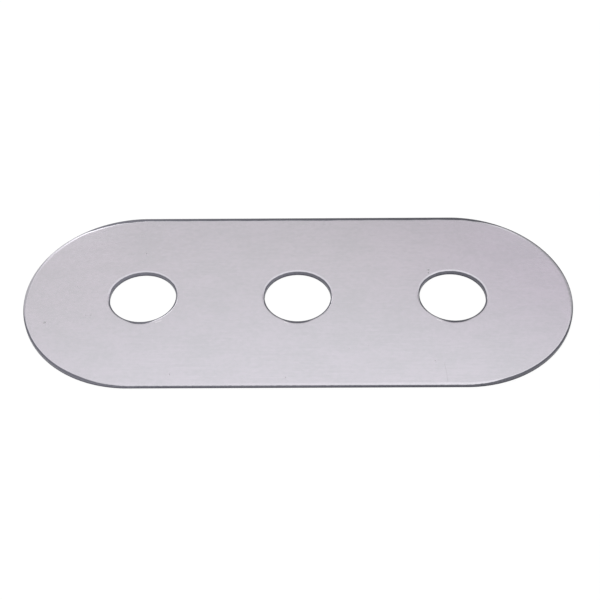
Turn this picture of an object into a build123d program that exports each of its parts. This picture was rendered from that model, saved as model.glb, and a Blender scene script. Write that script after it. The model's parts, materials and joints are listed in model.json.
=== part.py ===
"""Obround metal cover plate with three round openings in one line.

The plate is blanked and punched from flat stock, so that its outline and its openings
have a rolled edge on the face side and a small deburred edge on the back. It lies on
its back. The origin is on the back, under the middle opening, with +X along the line
of openings and +Z out of the face.
"""

import os

from build123d import *

# All sizes are in millimetres.

# Openings, each for the sleeve or stem of a valve
opening_count = 3
opening_spacing = 101.6  # from centre to centre
opening_diameter = 43.4

# Outline: straight sides and half-round ends
plate_width = 149.6
plate_thickness = 3.0
end_reach = 77.9  # from the centre of an end opening to the end of the plate
plate_length = (opening_count - 1) * opening_spacing + 2 * end_reach

# Rolled edge that the blanking and punching tools leave on the face side: an arc that
# leaves the face on a tangent and meets the wall
roll_width = 2.2  # how far in from the wall the face begins to fall away
roll_depth = 0.6  # how far it has fallen where it meets the wall
roll_radius = (roll_width**2 + roll_depth**2) / (2 * roll_depth)

# Chamfer that takes the burr off the back
deburr = 0.2

with BuildPart() as cover_plate:
    with BuildSketch():
        SlotOverall(plate_length, plate_width)
        with GridLocations(opening_spacing, 0, opening_count, 1):
            Circle(opening_diameter / 2, mode=Mode.SUBTRACT)
    extrude(amount=plate_thickness)

    back = cover_plate.faces().sort_by(Axis.Z).first
    chamfer(back.edges(), length=deburr)

    # Sweep the corner above the rolled edge's arc away, round the outline and round
    # each opening. The sketch's X points off the plate or into the opening.
    face = cover_plate.faces().sort_by(Axis.Z).last
    for rim in face.wires():
        along = rim % 0
        off_the_metal = along.cross(face.normal_at())
        with BuildSketch(Plane(rim @ 0, x_dir=off_the_metal, z_dir=-along)):
            Rectangle(roll_width, roll_depth, align=(Align.MAX, Align.MAX))
            with Locations((-roll_width, -roll_radius)):
                Circle(roll_radius, mode=Mode.SUBTRACT)
        sweep(path=rim, mode=Mode.SUBTRACT)

cover_plate.part.label = "cover_plate"

os.makedirs("parts", exist_ok=True)
export_step(cover_plate.part, "parts/cover_plate.step")
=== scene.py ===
"""Looks of the obround cover plate: a finer plate over the CAD solid, its metal, stage and camera."""

import json
import math

import bmesh
import bpy
from mathutils import Matrix, Vector, noise
from mathutils.geometry import delaunay_2d_cdt


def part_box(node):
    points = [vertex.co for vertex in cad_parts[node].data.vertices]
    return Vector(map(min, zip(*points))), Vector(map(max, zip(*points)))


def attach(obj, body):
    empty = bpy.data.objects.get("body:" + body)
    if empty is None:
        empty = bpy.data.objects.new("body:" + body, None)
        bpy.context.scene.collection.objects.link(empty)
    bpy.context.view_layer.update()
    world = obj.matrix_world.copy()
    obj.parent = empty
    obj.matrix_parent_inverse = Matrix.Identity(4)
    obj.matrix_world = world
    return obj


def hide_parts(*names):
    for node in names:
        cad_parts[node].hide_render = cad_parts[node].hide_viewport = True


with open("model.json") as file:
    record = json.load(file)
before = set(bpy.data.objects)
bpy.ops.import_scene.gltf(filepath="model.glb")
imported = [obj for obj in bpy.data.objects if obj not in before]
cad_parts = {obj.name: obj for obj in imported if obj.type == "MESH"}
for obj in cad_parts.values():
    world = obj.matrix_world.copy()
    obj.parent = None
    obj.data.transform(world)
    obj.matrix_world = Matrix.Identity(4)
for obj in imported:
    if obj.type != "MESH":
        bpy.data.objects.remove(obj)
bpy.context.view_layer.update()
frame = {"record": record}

# Every length in this script is in metres, and most are written as so many millimetres.
MM = 0.001

# ---------------------------------------------------------------------------
# Sizes of the plate, all but the first from the frame
# ---------------------------------------------------------------------------

ROLL_WIDTH = 2.2 * MM  # how far in from the wall the face begins to fall away, on average

_, high_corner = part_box("cover_plate")
half_length = high_corner.x
half_width = high_corner.y
thickness = high_corner.z
end_centre = half_length - half_width  # of each half-round end

bores = [m for m in frame["record"]["mounts"] if m["kind"] == "bore"]
opening_centres = [Vector(m["pos_m"][:2]) for m in bores]
opening_radius = bores[0]["dims"]["r_mm"] * MM
wall_middle = bores[0]["pos_m"][2]
wall_length = bores[0]["dims"]["length_mm"] * MM
deburr = wall_middle - wall_length / 2
wall_top = wall_middle + wall_length / 2

roll_depth = thickness - wall_top
roll_radius = (ROLL_WIDTH**2 + roll_depth**2) / (2 * roll_depth)
roll_angle = math.asin(ROLL_WIDTH / roll_radius)  # how far the roll has turned where it meets the wall

# A punched wall is smooth above this height and torn below it.
TORN_TOP = 1.15 * MM

# ---------------------------------------------------------------------------
# Pits in the face, and how the edges differ round the plate
# ---------------------------------------------------------------------------

# Where each pit lies and how wide its mouth is, in mm
PITS = [
    (-162.9, -22.4, 1.80),
    (87.4, 23.5, 1.65),
    (87.2, 20.8, 1.50),
    (-102.8, 40.0, 1.40),
    (-79.0, -66.0, 1.00),
    (-7.3, -68.8, 0.80),
    (-133.8, 61.7, 1.05),
    (-137.2, -16.5, 0.90),
    (-134.0, -16.5, 0.85),
    (86.1, -55.7, 0.80),
    (-145.8, 9.4, 0.70),
    (44.8, -43.1, 0.60),
    (-106.4, 57.6, 0.80),
    (32.8, -45.6, 0.55),
]
PIT_DEPTH = 0.06  # as a share of its width
PIT_STRETCH = 1.35  # how much longer it is along Y
PIT_UNEVENNESS = 0.3  # of its outline, as a share of its radius
PIT_RINGS = (1, 0.88, 0.7, 0.5, 0.3, 0.12)  # from the mouth inwards, as shares of the mouth
PIT_SIDES = 24
PIT_CLEARANCE = 1.8 * MM  # that the face's own points keep from a pit's centre

# Each row has the heading that the wall faces, in degrees from +Y towards +X, the width of the
# roll as a share of ROLL_WIDTH, and how high the dark band reaches, in mm. The long sides
# are sheared and the round ends are punched. The dark band is partly the duller edge metal and
# partly painted shade: it paints the dark reflection that the roll and wall show of their
# surroundings.
OUTLINE_EDGE = [
    (-180, 0.82, 2.50),
    (-172, 0.80, 2.64),
    (-155, 0.75, 2.94),
    (-115, 0.80, 2.93),
    (-88, 1.10, 2.40),
    (-38, 1.20, 2.66),
    (-29, 1.60, 2.92),
    (-18, 1.80, 2.95),
    (-8, 1.95, 2.97),
    (0, 1.75, 2.97),
    (12, 1.70, 2.96),
    (22, 1.50, 2.88),
    (32, 1.35, 2.76),
    (70, 1.10, 2.78),
    (90, 1.10, 2.58),
    (120, 0.75, 2.90),
    (160, 0.75, 2.93),
    (172, 0.80, 2.64),
    (180, 0.82, 2.50),
]
# The punch has left each opening with a wide roll at the near side, and a narrow one beside it.
# Its dark band holds the same painted shade over the edge metal.
OPENING_EDGE = [
    (-180, 1.00, 2.77),
    (-115, 1.00, 2.80),
    (-90, 1.00, 2.70),
    (-70, 0.90, 2.90),
    (-32, 0.88, 2.91),
    (-6, 1.45, 2.96),
    (6, 1.45, 2.96),
    (32, 0.85, 2.90),
    (70, 0.85, 2.90),
    (90, 1.00, 2.62),
    (115, 1.00, 2.80),
    (180, 1.00, 2.77),
]


# ---------------------------------------------------------------------------
# Mesh of the plate
# ---------------------------------------------------------------------------


def edge_at(rows, into_metal):
    """The width of the roll and the height of the dark band, edge metal with painted shade on it,
    between the rows on either side.
    """
    heading = math.degrees(math.atan2(-into_metal.x, -into_metal.y))
    for (start, roll, cut_and_shade_top), (end, next_roll, next_cut_and_shade_top) in zip(rows, rows[1:]):
        if heading <= end:
            break
    share = (heading - start) / (end - start)
    share = share * share * (3 - 2 * share)
    return roll + (next_roll - roll) * share, (cut_and_shade_top + (next_cut_and_shade_top - cut_and_shade_top) * share) * MM


def outline_rim():
    """Points round the outline: each a place and the direction into the metal."""
    arc_steps = 156
    straight_steps = 138
    rim = []
    for side in (1, -1):
        centre = Vector((side * end_centre, 0))
        for i in range(arc_steps):
            turn = math.pi * (i / arc_steps - 0.5)
            out = side * Vector((math.cos(turn), math.sin(turn)))
            rim.append((centre + half_width * out, -out))
        for i in range(straight_steps):
            x = side * end_centre * (1 - 2 * i / straight_steps)
            rim.append((Vector((x, side * half_width)), Vector((0, -side))))
    return rim


def opening_rim(centre):
    """Points round an opening: each a place and the direction into the metal."""
    steps = 144
    rim = []
    for i in range(steps):
        turn = 2 * math.pi * i / steps
        out = Vector((math.cos(turn), math.sin(turn)))
        rim.append((centre + opening_radius * out, out))
    return rim


def edge_profile():
    """Section of the edge from the back to the face, as (distance into the metal, height)."""
    softening = 0.12 * MM
    wall_steps = 7
    roll_steps = 11
    profile = [(deburr, 0.0), (0.0, deburr)]
    for i in range(1, wall_steps + 1):
        profile.append((0.0, deburr + (wall_top - softening - deburr) * i / wall_steps))

    # The corner between the wall and the roll is eased by a short curve.
    start = Vector((0, wall_top - softening))
    corner = Vector((0, wall_top))
    end = corner + softening * Vector((math.cos(roll_angle), math.sin(roll_angle)))
    for t in (0.3, 0.6):
        point = (1 - t) ** 2 * start + 2 * t * (1 - t) * corner + t**2 * end
        profile.append((point.x, point.y))

    first_angle = math.asin((ROLL_WIDTH - end.x) / roll_radius)
    for i in range(roll_steps + 1):
        angle = first_angle * (1 - i / roll_steps)
        inset = ROLL_WIDTH - roll_radius * math.sin(angle)
        height = thickness - roll_radius * (1 - math.cos(angle))
        profile.append((inset, height))
    return profile


def torn_inset(point, height):
    """How far the torn lower part of a punched wall lies back from the smooth part."""
    fade_height = 0.5 * MM
    depth = 0.05 * MM  # at most
    grain_size = 0.45 * MM
    reach = min(1, max(0, (TORN_TOP - height) / fade_height)) * min(1, height / deburr - 1)
    grain = noise.noise(Vector((point.x, point.y, height)) / grain_size)
    return max(0, reach) * depth * (0.55 + 0.45 * grain)


def unevenness(place):
    """A wander about 1, for the width of the roll: a slow one and a quick one."""
    slow_length = 22 * MM
    quick_length = 6 * MM
    apart = 40 * MM  # so that the two don't rise and fall together
    slow = noise.noise(Vector((place.x, place.y, 0)) / slow_length)
    quick = noise.noise(Vector((place.x, place.y, apart)) / quick_length)
    return 1 + 0.06 * slow + 0.08 * quick


def add_edge(mesh, rim, rows, profile):
    """Skins one edge of the plate and returns its ring on the back and its ring on the face."""
    # How high the dark band reaches: edge metal with painted shade, a dark reflection painted into the
    # colour.
    cut_and_shade_layer = mesh.verts.layers.float["cut_and_shade_top"]
    rings = [[] for _ in profile]
    for place, into_metal in rim:
        roll, cut_and_shade_top = edge_at(rows, into_metal)
        roll *= unevenness(place)
        for ring, (inset, height) in zip(rings, profile):
            if height > wall_top:
                inset *= roll
            elif height > deburr:
                inset += torn_inset(place, height)
            point = place + inset * into_metal
            corner = mesh.verts.new((point.x, point.y, height))
            corner[cut_and_shade_layer] = cut_and_shade_top
            ring.append(corner)
    for lower, upper in zip(rings, rings[1:]):
        for i in range(len(rim)):
            j = (i + 1) % len(rim)
            mesh.faces.new((lower[i], lower[j], upper[j], upper[i]))
    return rings[0], rings[-1]


def add_pit(mesh, centre, width):
    """Adds one shallow uneven bowl and returns its mouth."""
    rings = []
    for share in PIT_RINGS:
        height = thickness - (1 - share**2) * PIT_DEPTH * width
        ring = []
        for i in range(PIT_SIDES):
            turn = 2 * math.pi * i / PIT_SIDES
            out = Vector((math.cos(turn), math.sin(turn)))
            uneven = 1 + PIT_UNEVENNESS * noise.noise(Vector((*out, 0)) + Vector((*centre, 0)) / MM)
            place = centre + share * uneven * width / 2 * Vector((out.x, PIT_STRETCH * out.y))
            ring.append(mesh.verts.new((place.x, place.y, height)))
        rings.append(ring)
    for outer, inner in zip(rings, rings[1:]):
        for i in range(PIT_SIDES):
            j = (i + 1) % PIT_SIDES
            mesh.faces.new((outer[i], outer[j], inner[j], inner[i])).material_index = 1
    mesh.faces.new(rings[-1]).material_index = 1
    return rings[0]


def grid_points(spacing, margin):
    """Points that divide a flat side of the plate evenly, clear of its edges and of the pits."""
    clear_of = [(centre, opening_radius + margin) for centre in opening_centres]
    clear_of += [(Vector((x, y)) * MM, PIT_CLEARANCE) for x, y, _ in PITS]
    columns = round(2 * half_length / spacing)
    rows = round(2 * half_width / spacing)
    points = []
    for i in range(1, columns):
        for j in range(1, rows):
            point = Vector((half_length * (2 * i / columns - 1), half_width * (2 * j / rows - 1)))
            axis_point = Vector((max(-end_centre, min(end_centre, point.x)), 0))
            inside = (point - axis_point).length < half_width - margin
            if inside and all((point - centre).length > reach for centre, reach in clear_of):
                points.append(point)
    return points


def fill_side(mesh, outline, holes, points, height, material):
    """Fills a flat side of the plate between its outline and its holes with triangles."""
    inside_loops = 1  # the kind of result: the triangles inside any loop
    tolerance = 1e-9
    verts = []
    loops = []
    for ring in (outline, *holes):
        loops.append(range(len(verts), len(verts) + len(ring)))
        verts += ring
    verts += [mesh.verts.new((point.x, point.y, height)) for point in points]

    flat = [vert.co.xy for vert in verts]
    _, _, triangles, sources, _, owners = delaunay_2d_cdt(flat, [], loops, inside_loops, tolerance)
    for triangle, loops_round_it in zip(triangles, owners):
        if loops_round_it == [0]:  # the outline, and none of the holes
            mesh.faces.new([verts[sources[i][0]] for i in triangle]).material_index = material


def build_plate():
    """The plate as one closed mesh, with material 0 for the metal, 1 in the pits and 2 on the back."""
    crease = math.radians(35)  # sharper edges than this aren't smoothed over
    mesh = bmesh.new()
    # The height that the dark band of painted shade reaches, at each corner of the edges.
    mesh.verts.layers.float.new("cut_and_shade_top")
    profile = edge_profile()
    back_outline, face_outline = add_edge(mesh, outline_rim(), OUTLINE_EDGE, profile)
    back_holes = []
    face_holes = []
    for centre in opening_centres:
        back_ring, face_ring = add_edge(mesh, opening_rim(centre), OPENING_EDGE, profile)
        back_holes.append(back_ring)
        face_holes.append(face_ring)
    for x, y, width in PITS:
        face_holes.append(add_pit(mesh, Vector((x, y)) * MM, width * MM))
    points = grid_points(spacing=5 * MM, margin=4.5 * MM)
    fill_side(mesh, face_outline, face_holes, points, thickness, 0)
    fill_side(mesh, back_outline, back_holes, points, 0.0, 2)
    bmesh.ops.recalc_face_normals(mesh, faces=mesh.faces)
    for edge in mesh.edges:
        one_material = len({face.material_index for face in edge.link_faces}) == 1
        edge.smooth = one_material and edge.calc_face_angle() < crease

    data = bpy.data.meshes.new("plate")
    mesh.to_mesh(data)
    mesh.free()
    data.shade_smooth()
    plate = bpy.data.objects.new("plate", data)
    bpy.context.scene.collection.objects.link(plate)
    normals = plate.modifiers.new("face_weighted_normals", "WEIGHTED_NORMAL")
    normals.keep_sharp = True
    return plate


plate = build_plate()
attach(plate, "root")
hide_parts("cover_plate")


# ---------------------------------------------------------------------------
# Materials
# ---------------------------------------------------------------------------


def add(tree, kind, inputs=None, **settings):
    """A new shader node with these settings. Its inputs take values, or sockets to link."""
    made = tree.nodes.new("ShaderNode" + kind)
    for name, value in settings.items():
        setattr(made, name, value)
    for name, value in (inputs or {}).items():
        if isinstance(value, bpy.types.NodeSocket):
            tree.links.new(value, made.inputs[name])
        else:
            made.inputs[name].default_value = value
    return made


def new_material(name):
    """A material without nodes, and its tree."""
    material = bpy.data.materials.new(name)
    material.use_nodes = True
    tree = material.node_tree
    tree.nodes.clear()
    return material, tree


def calculate(tree, operation, a, b):
    """The result of this operation on two values."""
    return add(tree, "Math", {0: a, 1: b}, operation=operation).outputs[0]


def blend(tree, share, a, b):
    """Mixes two colours."""
    mixed = add(tree, "Mix", {0: share, 6: a, 7: b}, data_type="RGBA")
    return mixed.outputs[2]


def mix(tree, share, a, b):
    """Mixes two values."""
    return add(tree, "Mix", {0: share, 2: a, 3: b}).outputs[0]


def scale_colour(tree, colour, by):
    """Multiplies a colour by a value or by another colour."""
    return add(tree, "VectorMath", {0: colour, 1: by}, operation="MULTIPLY").outputs[0]


def fade(tree, value, start, end, low=0.0, high=1.0, kind="SMOOTHSTEP"):
    """Goes smoothly from low at start to high at end. Start may be above end."""
    inputs = {"Value": value, "From Min": start, "From Max": end, "To Min": low, "To Max": high}
    return add(tree, "MapRange", inputs, interpolation_type=kind).outputs[0]


def fade_line(tree, value, start, end, low=0.0, high=1.0):
    """As fade, in a straight line."""
    return fade(tree, value, start, end, low, high, kind="LINEAR")


def pattern(tree, coordinates, stretch, detail=2.0):
    """Noise about 0.5, with features as long in X, Y and Z as stretch says."""
    scale = tuple(1 / length for length in stretch)
    placed = add(tree, "Mapping", {"Vector": coordinates, "Scale": scale})
    inputs = {"Vector": placed.outputs[0], "Scale": 1.0, "Detail": detail}
    return add(tree, "TexNoise", inputs).outputs[0]


def finish_material(tree, colour, roughness, height, relief):
    """Ends a metal: height is a share of relief, the most that the surface stands out."""
    bump = add(tree, "Bump", {"Height": height, "Distance": relief, "Strength": 1.0})
    inputs = {"Base Color": colour, "Roughness": roughness, "Metallic": 1.0, "Normal": bump.outputs[0]}
    surface = add(tree, "BsdfPrincipled", inputs)
    add(tree, "OutputMaterial", {"Surface": surface.outputs[0]})


FACE_TONE = (0.674, 0.647, 0.705, 1)
FACE_TONE_DEEP = (0.633, 0.620, 0.665, 1)
# The wall's two tones hold painted shade: the dark reflection of the surroundings, painted over the
# duller punched metal.
SHADED_BURNISHED_TONE = (0.176, 0.175, 0.206, 1)
SHADED_TORN_TONE = (0.120, 0.119, 0.145, 1)
SCRATCH_TONE = (0.590, 0.568, 0.612, 1)
# A painted highlight: the bright glint of the nicks.
NICK_GLINT_TONE = (0.880, 0.860, 0.900, 1)
PIT_TONE = (0.600, 0.580, 0.620, 1)
PIT_TONE_DEEP = (0.420, 0.410, 0.435, 1)
BACK_TONE = (0.545, 0.530, 0.560, 1)
BACK_TONE_DEEP = (0.455, 0.445, 0.475, 1)

# A scratch near the edge, and nicks beside the openings with a painted highlight, a bright glint
# painted into the face: the two ends, half the breadth in mm, and the tone
MARKS = [
    ((91.7, -57), (92.6, -73), 0.30, SCRATCH_TONE),
    ((-91.4, -22.8), (-87.8, -21.2), 0.35, NICK_GLINT_TONE),
    ((-8.4, -22.7), (-6.6, -23.6), 0.50, NICK_GLINT_TONE),
    ((89.8, -21.2), (92.6, -22.6), 0.55, NICK_GLINT_TONE),
]


def over_line(tree, place, start, end, half_breadth):
    """1 on the line between two places on the face, and 0 away from it."""
    core = 0.2  # the share of the breadth that is fully marked
    first = Vector((*start, 0)) * MM
    run = Vector((*end, 0)) * MM - first
    flat = add(tree, "VectorMath", {0: place, 1: (1, 1, 0)}, operation="MULTIPLY").outputs[0]
    from_first = add(tree, "VectorMath", {0: flat, 1: first}, operation="SUBTRACT").outputs[0]
    along = add(tree, "VectorMath", {0: from_first, 1: run}, operation="DOT_PRODUCT").outputs["Value"]
    share = fade_line(tree, along, 0.0, run.length_squared)
    nearest = add(tree, "VectorMath", {0: run, "Scale": share}, operation="SCALE").outputs[0]
    away = add(tree, "VectorMath", {0: from_first, 1: nearest}, operation="DISTANCE").outputs["Value"]
    return fade(tree, away, half_breadth * MM, core * half_breadth * MM)


def cut_and_shade_share(tree, place, height):
    """1 on the dark band, edge metal with painted shade, and 0 on the face, with a border that is a
    little uneven.
    """
    wander_reach = 0.3
    half_border = 0.15
    cut_and_shade_top = add(tree, "Attribute", attribute_name="cut_and_shade_top").outputs["Fac"]
    above = calculate(tree, "SUBTRACT", height, cut_and_shade_top)
    below_face = calculate(tree, "SUBTRACT", thickness, cut_and_shade_top)
    rise = calculate(tree, "DIVIDE", above, below_face)  # 0 where the cut metal ends, 1 at the face
    wander = pattern(tree, place, (2.5 * MM, 2.5 * MM, 2.5 * MM))
    wander = fade_line(tree, wander, 0.0, 1.0, -wander_reach, wander_reach)
    return fade(tree, calculate(tree, "ADD", rise, wander), half_border, -half_border)


def torn_share(tree, place, height):
    """0 on the wall's burnished band and 1 on the torn band below it, with a ragged border."""
    border = 0.3 * MM
    raggedness = 0.9 * MM
    ragged = calculate(tree, "SUBTRACT", pattern(tree, place, (1.2 * MM, 1.2 * MM, 1.2 * MM)), 0.5)
    ragged = calculate(tree, "MULTIPLY", ragged, raggedness)
    return fade(tree, calculate(tree, "ADD", height, ragged), TORN_TOP + border, TORN_TOP)


def face_colour(tree, place, grain):
    """Faint clouds and flecks with the satin grain, and the marks over them: a scratch, and painted
    highlights at the nicks.
    """
    grain_part = 0.5
    clouds = pattern(tree, place, (24 * MM, 15 * MM, 15 * MM), 5.0)
    flecks = pattern(tree, place, (3.2 * MM, 2.4 * MM, 2.4 * MM), 3.0)
    uneven = calculate(tree, "ADD", clouds, flecks)
    uneven = calculate(tree, "ADD", uneven, calculate(tree, "MULTIPLY", grain, grain_part))
    # The three come to about 1.25, midway between the two tones.
    colour = blend(tree, fade_line(tree, uneven, 1.03, 1.47), FACE_TONE, FACE_TONE_DEEP)
    for start, end, half_breadth, tone in MARKS:
        marked = over_line(tree, place, start, end, half_breadth)
        colour = blend(tree, marked, colour, tone)
    return colour


def wall_colour(tree, torn, streaks, along):
    """The wall's two bands, streaked by the tool and darker towards the right end of the plate. Both
    tones and the darkening to the right are painted shade, a dark reflection over the duller metal.
    """
    colour = blend(tree, torn, SHADED_BURNISHED_TONE, SHADED_TORN_TONE)
    streaked = fade(tree, streaks, 0.3, 0.7, low=0.86, high=1.12)
    darker_to_right = fade(tree, along, -half_length, half_length, low=1.05, high=0.72)
    return scale_colour(tree, colour, calculate(tree, "MULTIPLY", streaked, darker_to_right))


def plate_metal():
    """Bright satin face that goes over, down the rolled edge, to the darker punched wall. The dark
    band on the roll and wall is partly the duller edge metal and partly painted shade, a dark
    reflection painted into the colour.
    """
    grain_relief = 0.008  # as a share of the wall's
    material, tree = new_material("plate_metal")
    place = add(tree, "TexCoord").outputs["Object"]
    axes = add(tree, "SeparateXYZ", {0: place})
    cut_and_shade = cut_and_shade_share(tree, place, axes.outputs["Z"])
    torn = torn_share(tree, place, axes.outputs["Z"])
    grain = pattern(tree, place, (38 * MM, 0.7 * MM, 0.7 * MM), 3.0)
    streaks = pattern(tree, place, (0.35 * MM, 0.35 * MM, 6 * MM))
    speckle = pattern(tree, place, (0.2 * MM, 0.2 * MM, 0.2 * MM))

    face = face_colour(tree, place, grain)
    wall = wall_colour(tree, torn, streaks, axes.outputs["X"])
    # The face goes over into the dark band: painted shade over the duller edge metal.
    colour = blend(tree, cut_and_shade, face, wall)

    face_roughness = fade(tree, grain, 0.3, 0.7, low=0.13, high=0.17)
    wall_roughness = fade(tree, torn, 0.0, 1.0, low=0.34, high=0.55)
    roughness = mix(tree, cut_and_shade, face_roughness, wall_roughness)

    face_height = calculate(tree, "MULTIPLY", grain, grain_relief)
    wall_height = mix(tree, torn, streaks, speckle)
    height = mix(tree, cut_and_shade, face_height, wall_height)
    finish_material(tree, colour, roughness, height, relief=0.03 * MM)
    return material


def pit_metal():
    """Rough metal inside the pits, darker where they are deep."""
    darkest = thickness - 0.1 * MM
    material, tree = new_material("pit_metal")
    place = add(tree, "TexCoord").outputs["Object"]
    height = add(tree, "SeparateXYZ", {0: place}).outputs["Z"]
    speckle = pattern(tree, place, (0.12 * MM, 0.12 * MM, 0.12 * MM))
    deep = fade_line(tree, height, thickness, darkest)
    deep = calculate(tree, "ADD", deep, fade(tree, speckle, 0.3, 0.7, low=-0.15, high=0.15))
    colour = blend(tree, deep, PIT_TONE, PIT_TONE_DEEP)
    roughness = fade(tree, speckle, 0.3, 0.7, low=0.30, high=0.45)
    finish_material(tree, colour, roughness, speckle, relief=0.02 * MM)
    return material


def back_metal():
    """Duller mill finish on the back, with long rolling marks."""
    material, tree = new_material("back_metal")
    place = add(tree, "TexCoord").outputs["Object"]
    rolling = pattern(tree, place, (70 * MM, 0.5 * MM, 1 * MM), 4.0)
    clouds = pattern(tree, place, (60 * MM, 18 * MM, 18 * MM), 4.0)
    uneven = calculate(tree, "MULTIPLY", calculate(tree, "SUBTRACT", clouds, rolling), 0.5)
    share = fade_line(tree, calculate(tree, "ADD", rolling, uneven), 0.3, 0.7)
    colour = blend(tree, share, BACK_TONE, BACK_TONE_DEEP)
    roughness = fade(tree, share, 0.0, 1.0, low=0.32, high=0.42)
    finish_material(tree, colour, roughness, rolling, relief=0.002 * MM)
    return material


for material in (plate_metal(), pit_metal(), back_metal()):
    plate.data.materials.append(material)


# ---------------------------------------------------------------------------
# Stage: a white floor, and lights and cards that the metal reflects
# ---------------------------------------------------------------------------


def seen_directly(tree):
    """1 for the camera's rays and those that metal and glass send on, and 0 for the rest."""
    path = add(tree, "LightPath")
    seen = calculate(tree, "MAXIMUM", path.outputs["Is Camera Ray"], path.outputs["Is Glossy Ray"])
    return calculate(tree, "MAXIMUM", seen, path.outputs["Is Transmission Ray"])


def set_world():
    """White where it is seen, and dimmer as a light."""
    world = bpy.data.worlds.new("studio")
    world.use_nodes = True
    tree = world.node_tree
    tree.nodes.clear()
    dim = add(tree, "Background", {"Color": (1, 1, 1, 1), "Strength": 0.8}).outputs[0]
    white = add(tree, "Background", {"Color": (1, 1, 1, 1), "Strength": 1.0}).outputs[0]
    surface = add(tree, "MixShader", {0: seen_directly(tree), 1: dim, 2: white}).outputs[0]
    add(tree, "OutputWorld", {"Surface": surface})
    bpy.context.scene.world = world


def stage_piece(name, mesh, place=(0, 0, 0)):
    """A piece of the stage, made from this mesh."""
    data = bpy.data.meshes.new(name)
    mesh.to_mesh(data)
    mesh.free()
    piece = bpy.data.objects.new(name, data)
    piece.location = place
    bpy.context.scene.collection.objects.link(piece)
    return piece


def stage_square(name, size, place):
    """A level square piece of the stage."""
    mesh = bmesh.new()
    bmesh.ops.create_grid(mesh, x_segments=1, y_segments=1, size=size / 2)
    return stage_piece(name, mesh, place)


def add_floor():
    """A white floor just under the plate. It keeps a faint shadow, and is clear from below."""
    gap = 0.3 * MM
    brightness = 1.03  # which leaves the far end of the floor as white as the world
    white_share = 0.9  # the rest of the surface takes the shadow
    floor = stage_square("floor", 6.0, (0, 0, -gap))

    material, tree = new_material("floor_white")
    shadowed = add(tree, "BsdfDiffuse", {"Color": (0.9, 0.9, 0.9, 1)}).outputs[0]
    white = add(tree, "Emission", {"Color": (1, 1, 1, 1), "Strength": brightness}).outputs[0]
    share = calculate(tree, "MULTIPLY", seen_directly(tree), white_share)
    from_above = add(tree, "MixShader", {0: share, 1: shadowed, 2: white}).outputs[0]
    clear = add(tree, "BsdfTransparent").outputs[0]
    below = add(tree, "NewGeometry").outputs["Backfacing"]
    surface = add(tree, "MixShader", {0: below, 1: from_above, 2: clear}).outputs[0]
    add(tree, "OutputMaterial", {"Surface": surface})
    floor.data.materials.append(material)


def light_card(card, material, tree, colour, strength=1.0):
    """Makes a piece of the stage glow, and show only in reflections."""
    card.visible_camera = False
    card.visible_diffuse = False
    card.visible_shadow = False
    light = add(tree, "Emission", {"Color": colour, "Strength": strength})
    add(tree, "OutputMaterial", {"Surface": light.outputs[0]})
    card.data.materials.append(material)


def add_ceiling(height, size, left, right):
    """A square card overhead, of these strengths at its two sides."""
    ceiling = stage_square("ceiling", size, (0, -0.25 * height, height))
    material, tree = new_material("ceiling")
    axes = add(tree, "SeparateXYZ", {0: add(tree, "TexCoord").outputs["Object"]})
    strength = fade_line(tree, axes.outputs["X"], -size / 2, size / 2, left, right)
    light_card(ceiling, material, tree, (1, 1, 1, 1), strength)


def ramp(tree, share, stops):
    """The colour at this share of the way through the stops, each a position and a colour."""
    made = add(tree, "ValToRGB", {0: share})
    elements = made.color_ramp.elements
    while len(elements) < len(stops):
        elements.new(0.5)
    for element, (position, colour) in zip(elements, stops):
        element.position = position
        element.color = colour
    return made.outputs[0]


def curved_sheet(azimuths, elevations, distance):
    """The mesh of an upright sheet at this distance all along it."""
    steps = 24
    left, right = azimuths
    bottom, top = (distance * math.tan(math.radians(elevation)) for elevation in elevations)
    mesh = bmesh.new()
    columns = []
    for i in range(steps + 1):
        turn = math.radians(left + (right - left) * i / steps)
        x, y = distance * math.sin(turn), distance * math.cos(turn)
        columns.append((mesh.verts.new((x, y, bottom)), mesh.verts.new((x, y, top))))
    for (a, b), (c, d) in zip(columns, columns[1:]):
        mesh.faces.new((a, c, d, b))
    return mesh


def add_card(name, azimuths, elevations, stops, tint=None, distance=3.0):
    """A curved upright card. Azimuths are from +Y, in degrees to the right.

    Stops are pairs of elevation and brightness. A tint is a row of colours, from left to right over
    the middle of a card that is centred on +Y, and shows on its lower part.
    """
    tint_spread = 0.55  # as a share of the card
    tint_full = 45  # up to this elevation
    tint_gone = 48.5  # above this one
    low, high = elevations
    card = stage_piece(name, curved_sheet(azimuths, elevations, distance))
    material, tree = new_material(name)
    axes = add(tree, "SeparateXYZ", {0: add(tree, "TexCoord").outputs["Object"]})
    slope = calculate(tree, "DIVIDE", axes.outputs["Z"], distance)
    angle = add(tree, "Math", {0: slope}, operation="ARCTANGENT").outputs[0]
    share = fade_line(tree, angle, math.radians(low), math.radians(high))
    colour = ramp(tree, share, [((e - low) / (high - low), (v, v, v, 1)) for e, v in stops])
    if tint:
        reach = distance * math.sin(math.radians(tint_spread * azimuths[1]))
        sideways = fade_line(tree, axes.outputs["X"], -reach, reach)
        tints = ramp(tree, sideways, [(i / (len(tint) - 1), (*c, 1)) for i, c in enumerate(tint)])
        upwards = fade(tree, angle, math.radians(tint_full), math.radians(tint_gone))
        colour = scale_colour(tree, colour, blend(tree, upwards, tints, (1, 1, 1, 1)))
    light_card(card, material, tree, colour)


def add_lamp(name, place, size, power):
    """A square soft lamp, aimed at the plate. The metal doesn't mirror its shape."""
    light = bpy.data.lights.new(name, "AREA")
    light.size = size
    light.energy = power
    lamp = bpy.data.objects.new(name, light)
    lamp.location = place
    lamp.rotation_euler = (-Vector(place)).to_track_quat("-Z", "Y").to_euler()
    lamp.visible_glossy = False
    bpy.context.scene.collection.objects.link(lamp)


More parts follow.
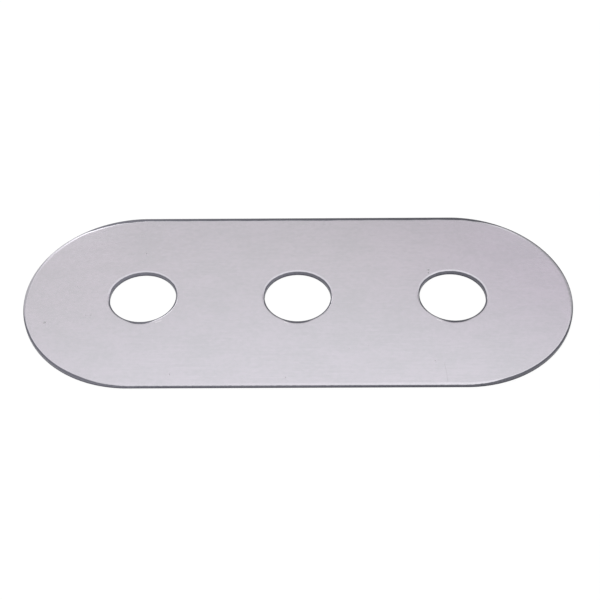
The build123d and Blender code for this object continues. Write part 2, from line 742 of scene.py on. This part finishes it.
set_world()
add_floor()
add_ceiling(height=2.2, size=3.2, left=0.84, right=1.36)
add_lamp("overhead", place=(-0.4, 0.3, 1.8), size=1.6, power=16)

# The face mirrors this graded panel, brighter towards its top.
face_stops = [
    (40.5, 0.71),
    (43, 0.737),
    (44.6, 0.871),
    (47, 0.866),
    (48, 0.887),
    (49, 0.947),
    (51, 1.03),
    (59, 1.08),
]
face_tint = [
    (1.02, 0.99, 0.99),
    (1.045, 1.02, 1.02),
    (1.02, 0.995, 0.99),
    (0.995, 0.955, 0.967),
    (0.94, 0.88, 0.933),
]
add_card("graded_panel", (-30, 30), (40.5, 59), face_stops, face_tint)

# The far rolled edges mirror what stands under it and on either side. These cards begin a little
# under the horizon.
foot = -4
under_stops = [(foot, 0.66), (30, 0.68), (40.5, 0.72)]
under_tint = [(1.15, 1.15, 1.15), (1, 1, 1), (0.94, 0.94, 0.94)]
add_card("under_panel", (-15, 15), (foot, 40.5), under_stops, under_tint)
add_card("left_strip", (-23, -15), (foot, 38), [(foot, 0.8), (18, 0.85), (26, 2.0), (38, 2.0)])
add_card("left_card", (-32, -23), (foot, 40), [(foot, 1.15), (40, 1.05)])
add_card("left_wing", (-60, -32), (foot, 40), [(foot, 0.64), (40, 0.64)])
add_card("right_card", (15, 20), (foot, 40), [(foot, 0.6), (20, 0.65), (28, 1.1), (40, 1.1)])
add_card("right_wing", (20, 60), (foot, 40), [(foot, 0.52), (40, 0.54)])

# From the other sides the plate mirrors a paler panel, with brighter strips in front of it.
add_card("rear_panel", (60, 300), (foot, 56), [(foot, 0.62), (15, 0.70), (35, 0.86), (56, 1.02)])
strip_stops = [(foot, 0.9), (52, 1.25)]
strip_breadth = 9
for azimuth in (98, 138, 187, 222, 262):
    strip_azimuths = (azimuth, azimuth + strip_breadth)
    add_card(f"strip_{azimuth}", strip_azimuths, (foot, 52), strip_stops, distance=2.9)


# ---------------------------------------------------------------------------
# Camera
# ---------------------------------------------------------------------------


def add_camera():
    """Aims the camera from in front and above."""
    azimuth = math.radians(0.725)
    elevation = math.radians(47.118)
    roll = math.radians(-0.795)
    distance = 788.93 * MM
    aim = Vector((1.52, -0.89, 0)) * MM
    data = bpy.data.cameras.new("camera")
    data.lens = 72.06
    data.sensor_width = 36
    camera = bpy.data.objects.new("camera", data)
    camera.matrix_world = (
        Matrix.Translation(aim)
        @ Matrix.Rotation(azimuth, 4, "Z")
        @ Matrix.Rotation(math.pi / 2 - elevation, 4, "X")
        @ Matrix.Rotation(roll, 4, "Z")
        @ Matrix.Translation((0, 0, distance))
    )
    bpy.context.scene.collection.objects.link(camera)
    bpy.context.scene.camera = camera


add_camera()
bpy.context.scene.view_settings.view_transform = "Standard"
